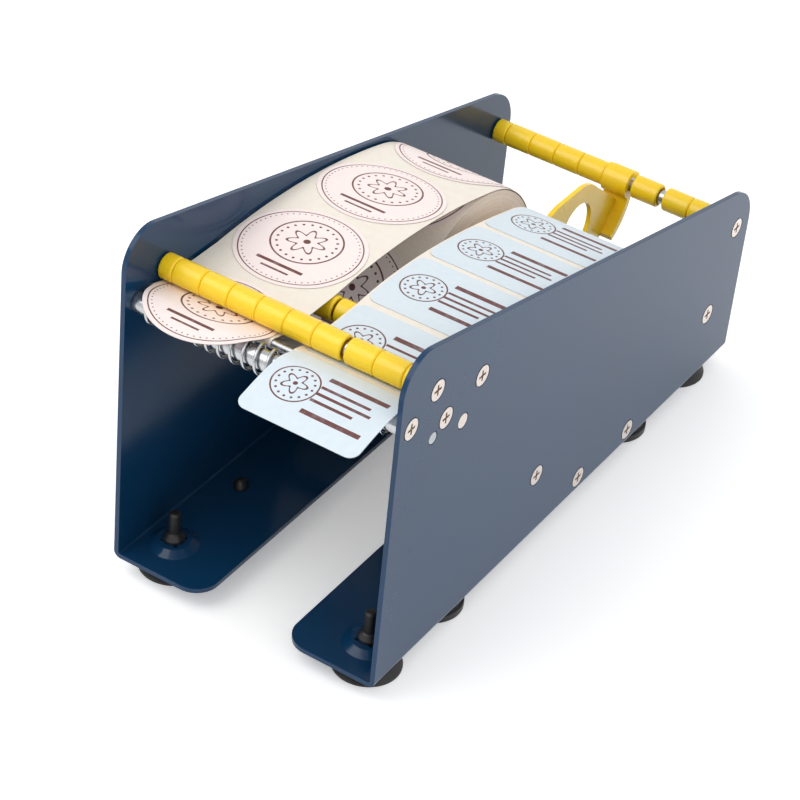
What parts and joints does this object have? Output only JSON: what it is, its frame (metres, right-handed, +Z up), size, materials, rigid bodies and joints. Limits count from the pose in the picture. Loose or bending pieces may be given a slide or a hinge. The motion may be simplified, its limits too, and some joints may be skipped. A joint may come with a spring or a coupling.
{
  "type": "label dispenser machine",
  "caption": "Tabletop dispenser with two side panels, guide rollers, a peel bar and coil-wrapped front rod, feeding two label rolls side by side.",
  "frame": {"origin": "centre of the bounding box's footprint, on the surface that the feet stand on", "axes": "+X across the width to the right side panel, +Y from the label outlet to the rear, +Z up"},
  "size_m": [0.118, 0.292, 0.1512],
  "materials": {
    "painted_sheet": "gloss",
    "yellow_plastic": "gloss",
    "rod_steel": "polished",
    "spring_wire": "polished",
    "peel_bar_steel": "satin",
    "nickel": "satin",
    "foot_rubber": "satin",
    "core_card": "matte",
    "roll_paper": "matte",
    "liner_paper": "satin",
    "round_labels": "satin",
    "square_labels": "satin"
  },
  "bodies": {
    "frame": {"left_side_panel": "painted_sheet", "right_side_panel": "painted_sheet", "guide_rod": "rod_steel", "support_rod": "rod_steel", "cradle_rod_front": "rod_steel", "cradle_rod_middle": "rod_steel", "cradle_rod_rear": "rod_steel", "stop_rod": "rod_steel", "rear_rod": "rod_steel", "coil_rod": "rod_steel", "peel_bar": "peel_bar_steel", "locating_pins": "nickel", "liner_rod": "rod_steel", "countersunk_screws": "nickel", "suction_foot_front_left": "foot_rubber", "suction_foot_front_right": "foot_rubber", "suction_foot_rear_left": "foot_rubber", "suction_foot_rear_right": "foot_rubber", "bumper_foot_front_left": "foot_rubber", "bumper_foot_front_right": "foot_rubber", "bumper_foot_rear_left": "foot_rubber", "bumper_foot_rear_right": "foot_rubber", "left_web": "liner_paper", "right_web": "liner_paper", "left_web_stickers": "round_labels", "right_web_labels": "square_labels", "dispensed_sticker": "round_labels", "dispensed_label": "square_labels"},
    "guide_rollers_left": {"guide_rollers_left": "yellow_plastic"},
    "guide_rollers_right": {"guide_rollers_right": "yellow_plastic"},
    "support_rollers_left": {"support_rollers_left": "yellow_plastic"},
    "support_rollers_right": {"support_rollers_right": "yellow_plastic"},
    "rear_rollers_left": {"rear_rollers_left": "yellow_plastic"},
    "rear_roller_single": {"rear_roller_single": "yellow_plastic"},
    "rear_rollers_right": {"rear_rollers_right": "yellow_plastic"},
    "coil": {"coil_spring": "spring_wire"},
    "left_roll": {"left_label_roll": "roll_paper", "left_roll_core": "core_card"},
    "right_roll": {"right_label_roll": "roll_paper", "right_roll_core": "core_card"},
    "clip": {"clip_guide": "yellow_plastic"}
  },
  "joints": [
    {"name": "guide_rollers_left_spin", "type": "hinge", "parent": "frame", "child": "guide_rollers_left", "pos_m": [0, -0.1014, 0.13], "axis": [1, 0, 0], "continuous": true},
    {"name": "guide_rollers_right_spin", "type": "hinge", "parent": "frame", "child": "guide_rollers_right", "pos_m": [0, -0.1014, 0.13], "axis": [1, 0, 0], "continuous": true},
    {"name": "support_rollers_left_spin", "type": "hinge", "parent": "frame", "child": "support_rollers_left", "pos_m": [0, -0.0706, 0.1184], "axis": [1, 0, 0], "continuous": true},
    {"name": "support_rollers_right_spin", "type": "hinge", "parent": "frame", "child": "support_rollers_right", "pos_m": [0, -0.0706, 0.1184], "axis": [1, 0, 0], "continuous": true},
    {"name": "rear_rollers_left_spin", "type": "hinge", "parent": "frame", "child": "rear_rollers_left", "pos_m": [0, 0.135, 0.075], "axis": [1, 0, 0], "continuous": true},
    {"name": "rear_roller_single_spin", "type": "hinge", "parent": "frame", "child": "rear_roller_single", "pos_m": [0, 0.135, 0.075], "axis": [1, 0, 0], "continuous": true},
    {"name": "rear_rollers_right_spin", "type": "hinge", "parent": "frame", "child": "rear_rollers_right", "pos_m": [0, 0.135, 0.075], "axis": [1, 0, 0], "continuous": true},
    {"name": "coil_spin", "type": "hinge", "parent": "frame", "child": "coil", "pos_m": [0, -0.1168, 0.1225], "axis": [1, 0, 0], "continuous": true},
    {"name": "left_roll_spin", "type": "hinge", "parent": "frame", "child": "left_roll", "pos_m": [0, 0.02684, 0.06664], "axis": [1, 0, 0], "continuous": true},
    {"name": "right_roll_spin", "type": "hinge", "parent": "frame", "child": "right_roll", "pos_m": [0, 0.02562, 0.06478], "axis": [1, 0, 0], "continuous": true},
    {"name": "clip_guide_swing", "type": "hinge", "parent": "frame", "child": "clip", "pos_m": [0, 0.135, 0.075], "axis": [1, 0, 0], "range_deg": [-100, 12]}
  ]
}
